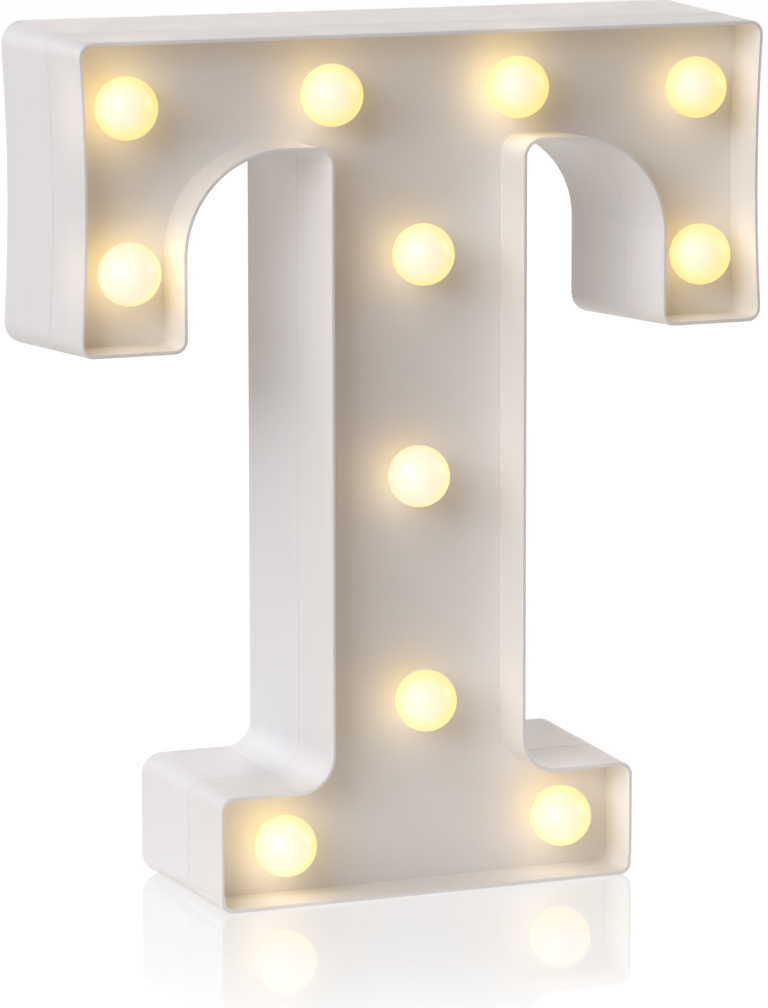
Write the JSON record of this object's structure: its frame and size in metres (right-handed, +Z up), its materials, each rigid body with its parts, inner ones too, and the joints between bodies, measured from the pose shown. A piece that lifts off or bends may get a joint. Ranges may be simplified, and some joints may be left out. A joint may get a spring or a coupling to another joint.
{
  "type": "light-up letter",
  "caption": "Free-standing slab-serif letter T in white plastic, a shallow open tray with lit globe bulbs, a battery bay and a slide switch behind.",
  "frame": {"origin": "under the middle of the letter, on the surface that it stands on", "axes": "+X across the letter to the viewer's right, -Y out of the lit front, +Z up"},
  "size_m": [0.1886, 0.0532, 0.22],
  "materials": {
    "shell_front": "satin white, slightly translucent",
    "shell_back": "satin white",
    "door": "satin white",
    "bulb": "frosted, lit warm white",
    "led": "clear resin, lit",
    "tinned_steel": "plain",
    "red_wire": "satin",
    "black_wire": "satin",
    "cell": "plain sleeve, no print",
    "switch_black": "matt"
  },
  "bodies": {
    "letter": {"front_shell": "shell_front", "back_shell": "shell_back", "bulb_1": "bulb", "bulb_2": "bulb", "bulb_3": "bulb", "bulb_4": "bulb", "bulb_5": "bulb", "bulb_6": "bulb", "bulb_7": "bulb", "bulb_8": "bulb", "bulb_9": "bulb", "bulb_10": "bulb", "bulb_11": "bulb", "led_1": "led", "led_2": "led", "led_3": "led", "led_4": "led", "led_5": "led", "led_6": "led", "led_7": "led", "led_8": "led", "led_9": "led", "led_10": "led", "led_11": "led", "led_leads": "tinned_steel", "positive_wire": "red_wire", "negative_wire": "black_wire", "feed_wire": "red_wire", "battery_1": "cell", "battery_2": "cell", "battery_spring_1": "tinned_steel", "battery_spring_2": "tinned_steel", "plus_plate": "tinned_steel", "minus_plate": "tinned_steel", "bridge_plate": "tinned_steel", "switch_body": "switch_black", "switch_frame": "tinned_steel", "switch_terminals": "tinned_steel", "switch_screws": "tinned_steel", "shell_screw_1": "tinned_steel", "shell_screw_2": "tinned_steel", "shell_screw_3": "tinned_steel", "shell_screw_4": "tinned_steel", "shell_screw_5": "tinned_steel", "shell_screw_6": "tinned_steel", "shell_screw_7": "tinned_steel"},
    "door": {"battery_door": "door"},
    "slider": {"switch_slider": "switch_black"}
  },
  "joints": [
    {"name": "door_hinge", "type": "hinge", "parent": "letter", "child": "door", "pos_m": [0, 0.02502, 0.1279], "axis": [1, 0, 0], "range_deg": [0, 90]},
    {"name": "switch_slide", "type": "slide", "parent": "letter", "child": "slider", "axis": [1, 0, 0], "range_m": [-0.004, 0]}
  ]
}
